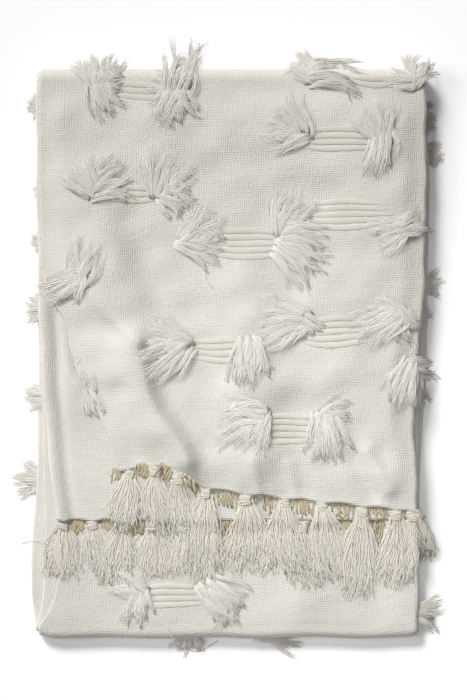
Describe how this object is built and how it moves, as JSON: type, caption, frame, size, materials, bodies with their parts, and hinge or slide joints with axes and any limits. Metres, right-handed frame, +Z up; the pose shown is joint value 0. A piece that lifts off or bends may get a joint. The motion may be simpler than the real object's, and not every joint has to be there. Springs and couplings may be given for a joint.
{
  "type": "folded throw blanket",
  "caption": "Ivory cotton throw folded flat in thirds both ways, with raised inlay ribs, cut yarn tufts and a knotted fringe at its hem; a soft cover for a bed or sofa.",
  "frame": {"origin": "middle of the flat underside, on the surface the folded throw lies on", "axes": "+Z up from the surface, +Y along the folded throw's length towards its head fold, +X towards its right-hand turn"},
  "size_m": [0.4983, 0.7002, 0.0501],
  "materials": {
    "woven_cotton": "matte hand-woven cotton, ivory, slightly slubby",
    "cotton_fringe": "matte twisted warp yarn, ivory",
    "cotton_tufts": "matte soft-spun cotton yarn, cut ends, ivory"
  },
  "bodies": {
    "root": {"cloth": "woven_cotton", "fringe_cover": "cotton_fringe", "fringe_inner": "cotton_fringe", "fringe_back": "cotton_fringe", "motif_head_left": "cotton_tufts", "motif_head_right": "cotton_tufts", "motif_upper_right": "cotton_tufts", "motif_upper_left": "cotton_tufts", "motif_centre": "cotton_tufts", "motif_right": "cotton_tufts", "tuft_left": "cotton_tufts", "motif_flap": "cotton_tufts", "motif_middle": "cotton_tufts", "motif_lower": "cotton_tufts", "tuft_right": "cotton_tufts", "tuft_flap_edge": "cotton_tufts", "motif_foot": "cotton_tufts", "edge_tuft_left_1": "cotton_tufts", "edge_tuft_left_2": "cotton_tufts", "edge_tuft_left_3": "cotton_tufts", "edge_tuft_left_4": "cotton_tufts", "edge_tuft_left_5": "cotton_tufts", "edge_tuft_left_6": "cotton_tufts", "edge_tuft_right_1": "cotton_tufts", "edge_tuft_right_2": "cotton_tufts", "edge_tuft_right_3": "cotton_tufts", "edge_tuft_right_4": "cotton_tufts", "edge_tuft_right_5": "cotton_tufts", "edge_tuft_foot_1": "cotton_tufts", "edge_tuft_foot_2": "cotton_tufts"}
  },
  "joints": []
}
